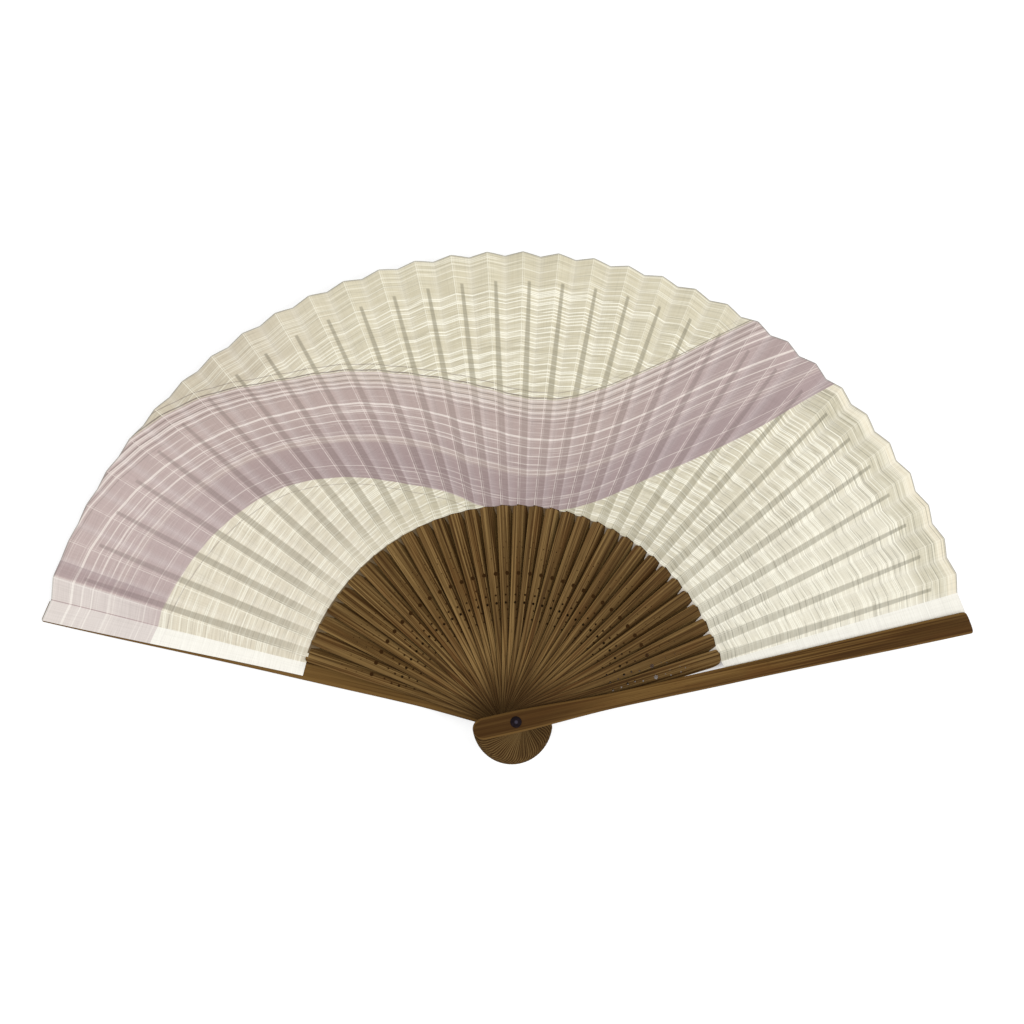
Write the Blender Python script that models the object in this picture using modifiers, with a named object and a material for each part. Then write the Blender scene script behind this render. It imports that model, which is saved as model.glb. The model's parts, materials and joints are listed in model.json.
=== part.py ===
"""Folding fan: thirty-three drilled bamboo ribs and two guards on one pin, with a pleated cloth leaf.

Lengths are in metres and angles in degrees. The pin runs along +Z towards the front guard, the open
fan spreads over the +Y side, and the front guard points to +X. The origin is the middle of the flat
on the pin's back head. The fan is shown open, as it lies on a table with its back guard down.
"""
import math

import bmesh
import bpy
from mathutils import Vector

MM = 0.001

# Ribs: thin bamboo strips, flat at the head and turned on edge a little under the leaf, where a
# tongue is shaved thinner to leave room for the cloth
RIB_COUNT = 33
RIB_THICKNESS = 0.4 * MM
RIB_TWIST = 18.0
RIB_HEAD_WIDTH = 8.4 * MM
RIB_WAIST_WIDTH = 6.1 * MM
RIB_SHOULDER_WIDTH = 6.7 * MM
RIB_SHOULDER_CORNER = 1.2 * MM
TONGUE_ROOT_WIDTH = 2.8 * MM
TONGUE_TIP_WIDTH = 1.15 * MM
TONGUE_THICKNESS = 0.25 * MM

# Places along a rib or guard, measured from the pin's axis
HEAD_REACH = 17.5 * MM
TWIST_START = 12.0 * MM
WAIST_REACH = 42.0 * MM
TWIST_END = 60.0 * MM
SHOULDER_REACH = 87.5 * MM
TONGUE_REACH = 180.5 * MM
GUARD_REACH = 192.5 * MM

# Holes drilled in each rib: reach from the pin, offset to the rib's left, diameter
HOLE_SIDES = 6
RIB_HOLES = (
    (60.0 * MM, 0.0 * MM, 1.7 * MM),
    (54.5 * MM, 0.1 * MM, 0.8 * MM),
    (51.2 * MM, 1.0 * MM, 0.9 * MM),
    (48.0 * MM, 1.0 * MM, 1.1 * MM),
    (45.2 * MM, 0.3 * MM, 0.8 * MM),
    (41.6 * MM, 0.3 * MM, 0.8 * MM),
)

# Guards: thicker outer sticks with a crowned outer face
GUARD_THICKNESS = 2.0 * MM
GUARD_HEAD_WIDTH = 8.7 * MM
GUARD_WAIST_WIDTH = 6.2 * MM
GUARD_LEAF_WIDTH = 6.9 * MM
GUARD_TIP_WIDTH = 9.3 * MM
GUARD_TIP_SLANT = 8.6
GUARD_TIP_CORNER = 1.2 * MM
GUARD_EDGE_ROUND = 0.55 * MM
GUARD_CROWN = 0.3 * MM
GUARD_FLAT_SHARE = 0.5
GUARD_BEND_SHARE = 0.8
FOLDED_LEAF_ROOM = 0.35 * MM

# Pin: a turned rivet with a low head at each end
PIN_RADIUS = 1.2 * MM
PIN_HEAD_RADIUS = 2.27 * MM
PIN_HEAD_HEIGHT = 0.6 * MM
PIN_HEAD_FLAT_RADIUS = 1.0 * MM
PIN_HEAD_DOME_SHARES = ((0.75, 0.25), (1.0, 0.75))
PIN_HOLE_CLEARANCE = 0.1 * MM
PIN_SIDES = 24
RIB_PIN_HOLE_SIDES = 12
RUNNING_GAP = 0.08 * MM

# Leaf: one sheet of cloth, glued on the front of the ribs' tongues
LEAF_THICKNESS = 0.2 * MM
LEAF_INNER_REACH = 87.9 * MM
LEAF_OUTER_REACH = 192.1 * MM
GLUE_GAP = 0.12 * MM
LEAF_TIP_INSET = 0.4 * MM
LEAF_ROOT_INSET = 1.6 * MM
LEAF_TUCK = 2.0 * MM
LEAF_FOLD_MARGIN = 0.3 * MM
LEAF_END_INSET = 0.3 * MM

# Angles of the open fan, counter-clockwise from +X
BACK_GUARD_ANGLE = 166.75
FIRST_RIB_ANGLE = 161.8
LAST_RIB_ANGLE = 17.3
FRONT_GUARD_ANGLE = 12.1
SPREAD_BOW = 1.43
SPREAD_SKEW = 0.48
SPREAD_RIPPLE = 0.15

# Folds beside each rib's centre line: the mountain to its left, the valley to its right
MOUNTAIN_SIDE = 0.95
VALLEY_SIDE = 1.35

# Spare length of every cutter past the solid that it cuts, and the weld of turned seams
OVERRUN = 1.0 * MM
WELD_DISTANCE = 0.01 * MM

# Heights, worked out from the stack on the pin
TILT = math.tan(math.radians(RIB_TWIST))
LEAN = math.cos(math.radians(RIB_TWIST))
TIP_SLOPE = math.tan(math.radians(GUARD_TIP_SLANT))
RIB_PITCH = RIB_THICKNESS / LEAN + RUNNING_GAP
BACK_GUARD_FACE = PIN_HEAD_HEIGHT + RUNNING_GAP + GUARD_THICKNESS
FIRST_RIB_HEIGHT = BACK_GUARD_FACE + RUNNING_GAP + RIB_THICKNESS / 2
LAST_RIB_HEIGHT = FIRST_RIB_HEIGHT + (RIB_COUNT - 1) * RIB_PITCH
FRONT_GUARD_FACE = LAST_RIB_HEIGHT + RIB_THICKNESS / 2 + RUNNING_GAP
PIN_LENGTH = FRONT_GUARD_FACE + GUARD_THICKNESS + RUNNING_GAP + PIN_HEAD_HEIGHT
GUARD_SET_OUT = RIB_SHOULDER_WIDTH / 2 * TILT + FOLDED_LEAF_ROOM
LEAF_LIFT = (TONGUE_THICKNESS + LEAF_THICKNESS) / 2 / LEAN + GLUE_GAP

BAMBOO_COLOUR = (0.162, 0.098, 0.038)
CLOTH_COLOUR = (0.72, 0.68, 0.58)
LACQUER_COLOUR = (0.012, 0.011, 0.012)


def clear_scene():
    """Removes what a new file holds."""
    for thing in list(bpy.data.objects):
        bpy.data.objects.remove(thing, do_unlink=True)


def new_collection(name):
    """A collection in the scene."""
    found = bpy.data.collections.new(name)
    bpy.context.scene.collection.children.link(found)
    return found


def new_material(name, colour, roughness, metallic=0.0):
    """A Principled material."""
    material = bpy.data.materials.new(name)
    material.use_nodes = True
    shader = material.node_tree.nodes["Principled BSDF"]
    shader.inputs["Base Color"].default_value = (*colour, 1.0)
    shader.inputs["Roughness"].default_value = roughness
    shader.inputs["Metallic"].default_value = metallic
    return material


def new_object(name, mesh, collection, material=None):
    """An object that shows a mesh."""
    thing = bpy.data.objects.new(name, mesh)
    collection.objects.link(thing)
    if material and not mesh.materials:
        mesh.materials.append(material)
    return thing


def evaluated_mesh(thing, name):
    """A plain mesh of an object, with its modifiers applied."""
    bpy.context.view_layer.update()
    seen = thing.evaluated_get(bpy.context.evaluated_depsgraph_get())
    mesh = bpy.data.meshes.new_from_object(seen)
    mesh.name = name
    return mesh


def ease(share):
    """A smooth step from 0 to 1."""
    share = min(max(share, 0.0), 1.0)
    return share * share * (3.0 - 2.0 * share)


def between(low, high, share):
    """The value a share of the way from low to high."""
    return low + (high - low) * share


def turned_share(reach):
    """How much of its twist a rib has at this reach, and a guard of its set-out."""
    return ease((reach - TWIST_START) / (TWIST_END - TWIST_START))


def width_at(reach, table):
    """A width read from a table of (reach, width), eased between its rows."""
    for (near, low), (far, high) in zip(table, table[1:]):
        if reach <= far:
            return between(low, high, ease((reach - near) / (far - near)))
    return table[-1][1]


def head_stations(width):
    """Half-widths round the head's end, as (reach, half width)."""
    radius = width / 2
    centre = radius - HEAD_REACH
    turns = (15, 40, 65, 90)
    return [
        (centre - radius * math.cos(math.radians(turn)), radius * math.sin(math.radians(turn)))
        for turn in turns
    ]


def rib_width(reach):
    """The width of a rib's broad part."""
    table = (
        (0.0, RIB_HEAD_WIDTH),
        (WAIST_REACH, RIB_WAIST_WIDTH),
        (SHOULDER_REACH, RIB_SHOULDER_WIDTH),
    )
    return width_at(max(reach, 0.0), table)


def guard_width(reach):
    """The width of a guard."""
    table = (
        (0.0, GUARD_HEAD_WIDTH),
        (WAIST_REACH, GUARD_WAIST_WIDTH),
        (SHOULDER_REACH, GUARD_LEAF_WIDTH),
        (GUARD_REACH, GUARD_TIP_WIDTH),
    )
    return width_at(max(reach, 0.0), table)


def rib_stations():
    """A rib's outline, as (reach, half width, thickness) from head to tip."""
    stations = head_stations(RIB_HEAD_WIDTH)
    twist_steps = 6
    for step in range(twist_steps + 1):
        reach = between(TWIST_START, TWIST_END, step / twist_steps)
        stations.append((reach, rib_width(reach) / 2))
    corner_start = SHOULDER_REACH - RIB_SHOULDER_CORNER
    shoulder_half = rib_width(corner_start) / 2
    for turn in (0, 45, 80):
        angle = math.radians(turn)
        stations.append((
            corner_start + RIB_SHOULDER_CORNER * math.sin(angle),
            shoulder_half - RIB_SHOULDER_CORNER * (1 - math.cos(angle)),
        ))
    return [(reach, half, RIB_THICKNESS) for reach, half in stations] + [
        (SHOULDER_REACH, TONGUE_ROOT_WIDTH / 2, TONGUE_THICKNESS),
        (TONGUE_REACH, TONGUE_TIP_WIDTH / 2, TONGUE_THICKNESS),
    ]


def twisted_height(reach, side):
    """How far a rib's middle surface stands above its flat head, side mm to its left."""
    return side * math.tan(math.radians(RIB_TWIST * turned_share(reach)))


def rib_surface():
    """A rib's middle surface along +X, with its left edge raised by the twist.

    Each step is two triangles, so that every rib's two faces bend along the same lines and nest. The
    first vertex group holds the thickness as a share of the broad part's.
    """
    mesh = bmesh.new()
    group = mesh.verts.layers.deform.verify()
    rows = []
    for reach, half, thickness in rib_stations():
        row = [
            mesh.verts.new((reach, side, twisted_height(reach, side)))
            for side in (-half, half)
        ]
        for vert in row:
            vert[group][0] = thickness / RIB_THICKNESS
        rows.append(row)
    for (right, left), (next_right, next_left) in zip(rows, rows[1:]):
        mesh.faces.new((right, next_right, left))
        mesh.faces.new((next_right, next_left, left))
    found = bpy.data.meshes.new("rib_surface")
    mesh.to_mesh(found)
    mesh.free()
    return found


def add_drill(mesh, reach, side, radius, depth, sides):
    """Adds an upright drill to a cutter's mesh."""
    made = bmesh.ops.create_cone(
        mesh, cap_ends=True, segments=sides, radius1=radius, radius2=radius, depth=depth
    )
    bmesh.ops.translate(mesh, verts=made["verts"], vec=Vector((reach, side, 0.0)))


def drilled(thing, drills, name, collection):
    """A mesh of an object, cut by upright drills given as (reach, side, radius, sides)."""
    mesh = bmesh.new()
    depth = 2 * (GUARD_THICKNESS + GUARD_SET_OUT + OVERRUN)
    for reach, side, radius, sides in drills:
        add_drill(mesh, reach, side, radius, depth, sides)
    cutter_mesh = bpy.data.meshes.new(name + "_drills")
    mesh.to_mesh(cutter_mesh)
    mesh.free()
    cutter = new_object(name + "_drills", cutter_mesh, collection)
    cutter.hide_render = True
    cutter.display_type = "WIRE"
    thing.modifiers.new("flat faces", "TRIANGULATE")
    cut = thing.modifiers.new("drilled holes", "BOOLEAN")
    cut.operation = "DIFFERENCE"
    cut.object = cutter
    found = evaluated_mesh(thing, name)
    bpy.data.objects.remove(thing, do_unlink=True)
    return found


def rib_mesh(parts, cutters):
    """The mesh that all ribs share."""
    blank = new_object("rib_blank", rib_surface(), parts)
    wall = blank.modifiers.new("thickness", "SOLIDIFY")
    wall.thickness = RIB_THICKNESS
    wall.offset = 0.0
    wall.vertex_group = blank.vertex_groups.new(name="thickness").name
    drills = [(0.0, 0.0, PIN_RADIUS + PIN_HOLE_CLEARANCE, RIB_PIN_HOLE_SIDES)]
    drills += [(reach, side, size / 2, HOLE_SIDES) for reach, side, size in RIB_HOLES]
    return drilled(blank, drills, "rib", cutters)


def guard_stations():
    """A guard's outline, as (reach, half width, share of the tip's slant) from head to tip."""
    stations = [(reach, half, 0.0) for reach, half in head_stations(GUARD_HEAD_WIDTH)]
    steps = 8
    for step in range(steps + 1):
        reach = between(TWIST_START, TWIST_END, step / steps)
        stations.append((reach, guard_width(reach) / 2, 0.0))
    straight_shares = (0.2, 0.45, 0.7)
    for share in straight_shares:
        reach = between(TWIST_END, GUARD_REACH, share)
        stations.append((reach, guard_width(reach) / 2, share))
    corner_start = GUARD_REACH - GUARD_TIP_CORNER
    tip_half = guard_width(corner_start) / 2
    for turn in (0, 30, 60, 90):
        angle = math.radians(turn)
        stations.append((
            corner_start + GUARD_TIP_CORNER * math.sin(angle),
            tip_half - GUARD_TIP_CORNER * (1 - math.cos(angle)),
            1.0,
        ))
    return stations


def guard_section(half, edge):
    """A guard's cross-section as (side, height): a flat inner face under a crowned outer one."""
    side = half - edge
    rise = GUARD_THICKNESS - GUARD_CROWN
    lower = [(-half, 0.0), (half, 0.0)]
    right_round = []
    for turn in (0, 45, 90):
        angle = math.radians(turn)
        right_round.append((side + edge * math.cos(angle), rise - edge * (1 - math.sin(angle))))
    bend = (GUARD_BEND_SHARE - GUARD_FLAT_SHARE) / (1 - GUARD_FLAT_SHARE)
    right_crown = [
        (side * GUARD_BEND_SHARE, GUARD_THICKNESS - GUARD_CROWN * bend * bend),
        (side * GUARD_FLAT_SHARE, GUARD_THICKNESS),
    ]
    right = right_round + right_crown
    return lower + right + [(-across, height) for across, height in reversed(right)]


def loft(rings, name):
    """A closed mesh through rings of as many points each, with its first and last ring filled."""
    mesh = bmesh.new()
    rows = [[mesh.verts.new(point) for point in ring] for ring in rings]
    count = len(rows[0])
    for row, following in zip(rows, rows[1:]):
        for i in range(count):
            j = (i + 1) % count
            mesh.faces.new((row[i], following[i], following[j], row[j]))
    mesh.faces.new(rows[0])
    mesh.faces.new(list(reversed(rows[-1])))
    bmesh.ops.recalc_face_normals(mesh, faces=mesh.faces)
    found = bpy.data.meshes.new(name)
    mesh.to_mesh(found)
    mesh.free()
    return found


def guard_mesh(name, outward, slant_side, parts, cutters):
    """A guard along +X. outward is 1 for a crown towards +Z, and slant_side is the longer side."""
    slope = TIP_SLOPE * slant_side
    rings = []
    for reach, half, slant in guard_stations():
        set_out = GUARD_SET_OUT * turned_share(reach)
        rings.append([
            (reach + slant * slope * side, side, outward * (set_out + height))
            for side, height in guard_section(half, min(GUARD_EDGE_ROUND, half / 2))
        ])
    blank = new_object(name + "_blank", loft(rings, name + "_blank"), parts)
    hole = (0.0, 0.0, PIN_RADIUS + PIN_HOLE_CLEARANCE, PIN_SIDES)
    return drilled(blank, [hole], name, cutters)


def pin_object(parts, material):
    """The pin, turned about Z, with a flat in the middle of each head."""
    head = [(0.0, 0.0), (PIN_HEAD_FLAT_RADIUS, 0.0)]
    head += [
        (between(PIN_HEAD_FLAT_RADIUS, PIN_HEAD_RADIUS, across), PIN_HEAD_HEIGHT * down)
        for across, down in PIN_HEAD_DOME_SHARES
    ]
    head += [(PIN_HEAD_RADIUS, PIN_HEAD_HEIGHT), (PIN_RADIUS, PIN_HEAD_HEIGHT)]
    points = [(radius, 0.0, PIN_LENGTH - drop) for radius, drop in head]
    points += [(radius, 0.0, drop) for radius, drop in reversed(head)]
    mesh = bpy.data.meshes.new("pivot_pin")
    mesh.from_pydata(points, [(i, i + 1) for i in range(len(points) - 1)], [])
    pin = new_object("pivot_pin", mesh, parts, material)
    turn = pin.modifiers.new("turned", "SCREW")
    turn.steps = PIN_SIDES
    turn.render_steps = PIN_SIDES
    turn.use_merge_vertices = True
    turn.merge_threshold = WELD_DISTANCE
    return pin


def rib_angle(number):
    """The open angle of rib number, with the slightly uneven spread of a fan opened by hand."""
    share = (number - 1) / (RIB_COUNT - 1)
    even = between(FIRST_RIB_ANGLE, LAST_RIB_ANGLE, share)
    bow = SPREAD_BOW * math.sin(math.pi * share)
    skew = SPREAD_SKEW * math.sin(2 * math.pi * share)
    ripple = SPREAD_RIPPLE * math.sin(3 * math.pi * share)
    return even - bow - skew + ripple


def rib_height(number):
    """The height of the middle of rib number's flat head."""
    return FIRST_RIB_HEIGHT + (number - 1) * RIB_PITCH


def polar(reach, angle, height):
    """A point from its reach, angle and height."""
    turn = math.radians(angle)
    return (reach * math.cos(turn), reach * math.sin(turn), height)


def beside(reach, angle, side, height):
    """A point at this reach from the pin, side to the left of a stick at this angle."""
    return polar(reach, angle + math.degrees(math.asin(side / reach)), height)


def leaf_line(line, share):
    """A point of one fold or edge line of the leaf, a share of the way from its inner edge."""
    kind, number = line
    outer = LEAF_OUTER_REACH
    if kind.startswith("back"):
        outward = 1 if kind == "back edge" else -1
        outer = GUARD_REACH - LEAF_END_INSET + outward * TIP_SLOPE * GUARD_TIP_WIDTH / 2
    reach = between(LEAF_INNER_REACH, outer, share)
    guard_half = guard_width(reach) / 2
    back_face = BACK_GUARD_FACE - GUARD_SET_OUT + GLUE_GAP + LEAF_THICKNESS / 2
    front_face = FRONT_GUARD_FACE + GUARD_SET_OUT - GLUE_GAP - LEAF_THICKNESS / 2
    if kind == "back edge":
        side = guard_half - between(LEAF_ROOT_INSET, LEAF_TIP_INSET, share)
        return beside(reach, BACK_GUARD_ANGLE, side, back_face)
    if kind == "back fold":
        return beside(reach, BACK_GUARD_ANGLE, -guard_half, back_face)
    if kind == "front fold":
        side = guard_half + LEAF_FOLD_MARGIN
        return beside(reach, FRONT_GUARD_ANGLE, side, front_face)
    if kind == "front edge":
        return beside(reach, FRONT_GUARD_ANGLE, guard_half - LEAF_TUCK, front_face)
    turn = MOUNTAIN_SIDE if kind == "mountain" else -VALLEY_SIDE
    rise = reach * math.sin(math.radians(turn)) * TILT
    return polar(reach, rib_angle(number) + turn, rib_height(number) + LEAF_LIFT + rise)


def leaf_object(parts, material):
    """The leaf: every fold line from one guard to the other, thickened to a sheet."""
    lines = [("back edge", 0), ("back fold", 0)]
    for number in range(1, RIB_COUNT + 1):
        lines += [("mountain", number), ("valley", number)]
    lines += [("front fold", 0), ("front edge", 0)]
    mesh = bmesh.new()
    rows = [[mesh.verts.new(leaf_line(line, share)) for share in (0, 1)] for line in lines]
    for (inner, outer), (next_inner, next_outer) in zip(rows, rows[1:]):
        mesh.faces.new((inner, next_inner, next_outer, outer))
    found = bpy.data.meshes.new("leaf")
    bmesh.ops.recalc_face_normals(mesh, faces=mesh.faces)
    mesh.to_mesh(found)
    mesh.free()
    leaf = new_object("leaf", found, parts, material)
    sheet = leaf.modifiers.new("cloth thickness", "SOLIDIFY")
    sheet.thickness = LEAF_THICKNESS
    sheet.offset = 0.0
    sheet.use_even_offset = True
    return leaf


def build():
    """Models the fan."""
    clear_scene()
    parts = new_collection("folding_fan")
    cutters = new_collection("cutters")
    bamboo = new_material("smoked_bamboo", BAMBOO_COLOUR, 0.55)
    cloth = new_material("leaf_cloth", CLOTH_COLOUR, 0.9)
    lacquer = new_material("pin_black", LACQUER_COLOUR, 0.3)

    shared = rib_mesh(parts, cutters)
    for number in range(1, RIB_COUNT + 1):
        rib = new_object(f"rib_{number:02d}", shared, parts, bamboo)
        rib.location = (0.0, 0.0, rib_height(number))
        rib.rotation_euler = (0.0, 0.0, math.radians(rib_angle(number)))

    back = new_object("back_guard", guard_mesh("back_guard", -1, 1, parts, cutters), parts, bamboo)
    back.location = (0.0, 0.0, BACK_GUARD_FACE)
    back.rotation_euler = (0.0, 0.0, math.radians(BACK_GUARD_ANGLE))

    front = new_object("front_guard", guard_mesh("front_guard", 1, -1, parts, cutters), parts, bamboo)
    front.location = (0.0, 0.0, FRONT_GUARD_FACE)
    front.rotation_euler = (0.0, 0.0, math.radians(FRONT_GUARD_ANGLE))

    pin_object(parts, lacquer)
    leaf_object(parts, cloth)


build()
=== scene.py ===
"""Looks of the folding fan: smoked bamboo sticks, a pleated slub cloth leaf with a mauve band, a black pin.

Lengths are in metres and angles in degrees, counter-clockwise from +X about the pin. The fan lies
open on a table with its back guard down.
"""
import json
from math import asin, atan2, cos, degrees, hypot, pi, radians, sin, tan

import bmesh
import bpy
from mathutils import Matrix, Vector

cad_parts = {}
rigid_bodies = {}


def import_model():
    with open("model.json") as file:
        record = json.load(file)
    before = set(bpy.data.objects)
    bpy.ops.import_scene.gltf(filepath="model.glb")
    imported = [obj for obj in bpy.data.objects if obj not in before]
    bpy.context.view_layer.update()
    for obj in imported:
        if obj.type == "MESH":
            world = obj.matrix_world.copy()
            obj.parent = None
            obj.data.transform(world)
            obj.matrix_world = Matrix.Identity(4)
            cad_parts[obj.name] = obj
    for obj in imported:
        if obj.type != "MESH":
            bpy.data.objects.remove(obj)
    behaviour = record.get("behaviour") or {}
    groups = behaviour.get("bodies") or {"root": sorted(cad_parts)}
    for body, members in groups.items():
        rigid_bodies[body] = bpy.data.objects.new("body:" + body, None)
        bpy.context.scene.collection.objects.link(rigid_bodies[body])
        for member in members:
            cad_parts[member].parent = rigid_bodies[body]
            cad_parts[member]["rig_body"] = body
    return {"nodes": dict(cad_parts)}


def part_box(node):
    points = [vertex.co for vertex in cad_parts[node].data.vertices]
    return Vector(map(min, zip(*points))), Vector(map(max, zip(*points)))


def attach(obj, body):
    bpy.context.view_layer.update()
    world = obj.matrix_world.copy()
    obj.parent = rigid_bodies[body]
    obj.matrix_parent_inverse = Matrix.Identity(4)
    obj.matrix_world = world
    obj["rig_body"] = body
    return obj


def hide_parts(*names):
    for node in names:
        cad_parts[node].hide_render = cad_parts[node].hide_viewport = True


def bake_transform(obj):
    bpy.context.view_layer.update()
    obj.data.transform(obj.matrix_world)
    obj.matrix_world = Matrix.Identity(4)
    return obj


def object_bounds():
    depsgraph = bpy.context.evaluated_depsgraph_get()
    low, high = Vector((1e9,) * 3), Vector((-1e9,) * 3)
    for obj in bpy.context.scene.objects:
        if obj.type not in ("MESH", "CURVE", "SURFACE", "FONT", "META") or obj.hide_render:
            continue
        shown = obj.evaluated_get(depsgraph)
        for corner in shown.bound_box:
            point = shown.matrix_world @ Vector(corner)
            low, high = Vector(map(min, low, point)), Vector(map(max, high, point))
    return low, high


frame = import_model()
cad_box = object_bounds()

MM = 0.001
RIB_COUNT = 33

# Sticks: the outlines of the ribs and guards, by reach from the pin
RIB_THICKNESS = 0.4 * MM
RIB_TWIST = 18.0
RIB_HEAD_WIDTH = 8.4 * MM
RIB_WAIST_WIDTH = 6.1 * MM
RIB_SHOULDER_WIDTH = 6.7 * MM
RIB_SHOULDER_CORNER = 1.2 * MM
RIB_CORNER_CUT = 0.9 * MM
RIB_CORNER_CUT_LENGTH = 4.5 * MM
RIB_CHAMFER = 0.07 * MM
# Pale rib edges are part wear and part painted highlight, weaker on a rib's lower right edge
RIB_PALE_EDGE_WIDTH = 0.45 * MM
RIGHT_PALE_EDGE_SHARE = 0.15
TONGUE_ROOT_WIDTH = 2.8 * MM
TONGUE_TIP_WIDTH = 1.15 * MM
TONGUE_THICKNESS = 0.25 * MM
HEAD_REACH = 17.5 * MM
TWIST_START = 12.0 * MM
WAIST_REACH = 42.0 * MM
TWIST_END = 60.0 * MM
SHOULDER_REACH = 87.5 * MM
TONGUE_REACH = 180.5 * MM
GUARD_REACH = 192.5 * MM
GUARD_THICKNESS = 2.0 * MM
GUARD_HEAD_WIDTH = 8.7 * MM
GUARD_WAIST_WIDTH = 6.2 * MM
GUARD_LEAF_WIDTH = 6.9 * MM
GUARD_TIP_WIDTH = 9.3 * MM
GUARD_TIP_SLANT = 8.6
GUARD_TIP_CORNER = 1.2 * MM
GUARD_EDGE_ROUND = 0.55 * MM
GUARD_CROWN = 0.3 * MM
GUARD_FLAT_SHARE = 0.5
GUARD_CROWN_SHARES = (0.88, 0.75, 0.62, GUARD_FLAT_SHARE)
FOLDED_LEAF_ROOM = 0.35 * MM

# Widths of the ribs' broad part and of the guards, by reach
RIB_WIDTHS = ((0.0, RIB_HEAD_WIDTH), (WAIST_REACH, RIB_WAIST_WIDTH), (SHOULDER_REACH, RIB_SHOULDER_WIDTH))
GUARD_WIDTHS = (
    (0.0, GUARD_HEAD_WIDTH), (WAIST_REACH, GUARD_WAIST_WIDTH), (SHOULDER_REACH, GUARD_LEAF_WIDTH),
    (GUARD_REACH, GUARD_TIP_WIDTH),
)

# Holes drilled in each rib: reach, offset to the rib's left, diameter, sides
RIB_HOLES = (
    (60.0 * MM, 0.0 * MM, 1.7 * MM, 20),
    (54.5 * MM, 0.1 * MM, 0.8 * MM, 14),
    (51.2 * MM, 1.0 * MM, 0.9 * MM, 14),
    (48.0 * MM, 1.0 * MM, 1.1 * MM, 14),
    (45.2 * MM, 0.3 * MM, 0.8 * MM, 14),
    (41.6 * MM, 0.3 * MM, 0.8 * MM, 14),
)
ROSETTE_REACH = 68.4 * MM
ROSETTE_LENGTH = 4.3 * MM
ROSETTE_WIDTH = 1.25 * MM
ROSETTE_HOLES = 6
ROSETTE_HOLE_SIZE = 0.48 * MM
ROSETTE_HOLE_SIDES = 10
DRILL_DEPTH = 12.0 * MM

# How finely round stretches are stepped, as turns in degrees, and straight ones, as steps
HEAD_TURNS = (9, 20, 32, 44, 56, 68, 80, 90)
CORNER_TURNS = (0, 15, 30, 45, 60, 75, 90)
RIB_CORNER_TURNS = (0, 15, 30, 45, 60, 75, 87)
GUARD_EDGE_TURNS = (0, 22, 45, 68, 90)
HEAD_STEPS = 4
RIB_TWIST_STEPS = 20
RIB_BROAD_STEPS = 4
RIB_CUT_STEPS = 3
TONGUE_STEPS = 6
GUARD_TWIST_STEPS = 16
GUARD_STRAIGHT_STEPS = 10
STICK_SHARP_ANGLE = 32.0
PIN_SHARP_ANGLE = 50.0

# Pin
PIN_RADIUS = 1.2 * MM
PIN_HOLE_CLEARANCE = 0.1 * MM
PIN_HOLE_SIDES = 32
PIN_HEAD_RADIUS = 2.27 * MM
PIN_HEAD_HEIGHT = 0.6 * MM
PIN_HEAD_FLAT_RADIUS = 0.9 * MM
PIN_STEPS = 64
PIN_MERGE_DISTANCE = 0.01 * MM

# Leaf
LEAF_INNER_REACH = 87.9 * MM
LEAF_OUTER_REACH = 192.1 * MM
CLOTH_THICKNESS = 0.12 * MM
CLOTH_GAP = 0.04 * MM
LEAF_TIP_INSET = 0.4 * MM
LEAF_ROOT_INSET = 1.6 * MM
LEAF_TUCK = 2.0 * MM
LEAF_FOLD_MARGIN = 0.3 * MM
LEAF_END_INSET = 0.3 * MM
MOUNTAIN_SIDE = 0.95
VALLEY_SIDE = 1.35
FOLD_ROUND = 0.3 * MM
PANEL_PUFF = 0.24 * MM
PUFF_LEAST_SHARE = 0.6
PUFF_WAVE = 7.0
PUFF_BAY_TURN = 1.9
PUFF_LENGTH_SHARE = 0.9
PUFF_START_TURN = 0.2
LIP_REACH = 4.0 * MM
LIP_DROP = 0.3 * MM
SAFELY_BEYOND = 1.0 * MM
FREE_STEPS = (0.2, 0.35, 0.5, 0.65, 0.8)
GLUED_COLUMNS = 2
FOLD_COLUMN = 3
FIRST_FREE_COLUMN = 5
FOLD_STEP = 0.6 * MM
INNER_FOLD_STEP_SHARE = 0.25
LEAF_ROWS = 48

# Painted light and painted shade on the end bays: where they change along the leaf, and how bright they are
CHANGE_START_SHARE = 0.4
CHANGE_LENGTH_SHARE = 0.35
END_SHADE_SHARE = -0.55
FREE_PANEL_SHARES = (-0.1, 0.75)

# How far the folds step in and out, as a share of the full step, by falling angle
FOLD_STEP_SHARES = ((166, 0.1), (156, 0.25), (142, 0.5), (124, 0.8), (106, 1.0), (16, 1.0))

# How much further out the cloth's outer and inner edge lie, by falling angle
OUTER_TRIM = (
    (166, 1.7 * MM), (158, 0.4 * MM), (146, -0.15 * MM), (130, -0.6 * MM), (106, -0.45 * MM), (90, 0.0),
    (78, 0.7 * MM), (62, 1.1 * MM), (46, 1.5 * MM), (22, 1.4 * MM), (16, 0.4 * MM),
)
INNER_TRIM = (
    (166, -1.2 * MM), (150, -1.1 * MM), (138, -1.0 * MM), (126, -0.6 * MM), (98, -0.3 * MM), (86, 0.0),
    (16, 0.0),
)

# Band on the leaf: its lower and upper edge, as (angle, share of the leaf's length from its inner edge)
BAND_TOP_SHARES = (
    (167, 1.10), (155, 1.08), (143, 1.0), (135, 0.921), (125, 0.778), (115, 0.671), (105, 0.560),
    (95, 0.472), (88, 0.428), (81, 0.438), (75, 0.510), (70, 0.612), (65, 0.755), (60, 0.959),
    (55, 1.2), (46, 1.6), (10, 1.9),
)
BAND_BOTTOM_SHARES = (
    (167.5, 0.581), (155, 0.547), (145, 0.503), (135, 0.431), (125, 0.310), (115, 0.173),
    (105, 0.067), (99, 0.002), (88, -0.04), (76.5, -0.003), (70, 0.055), (65, 0.135), (60, 0.252),
    (55, 0.399), (50, 0.640), (46, 1.0), (43, 1.3), (10, 1.7),
)

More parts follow.
